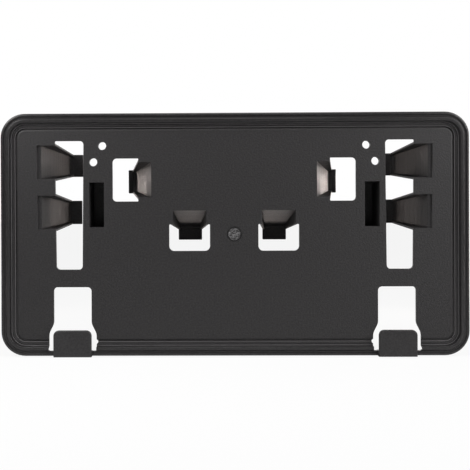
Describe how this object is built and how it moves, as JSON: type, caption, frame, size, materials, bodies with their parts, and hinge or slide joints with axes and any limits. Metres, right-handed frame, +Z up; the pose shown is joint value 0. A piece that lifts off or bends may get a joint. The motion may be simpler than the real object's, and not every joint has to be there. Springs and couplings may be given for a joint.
{
  "type": "number plate holder",
  "caption": "Flat moulded holder that frames a car's number plate, with a raised lip, plate hooks, screw holes and tapered channel legs that reach back to the bumper.",
  "frame": {"origin": "middle of the plate seat, on the panel's front face", "axes": "+Z up the plate, X along its width, -Y towards the viewer, +Y towards the bumper"},
  "size_m": [0.3202, 0.0482, 0.1664],
  "materials": {
    "black_plastic": "finely grained injection moulding, satin in the legs"
  },
  "bodies": {
    "root": {"plate_holder": "black_plastic"}
  },
  "joints": []
}
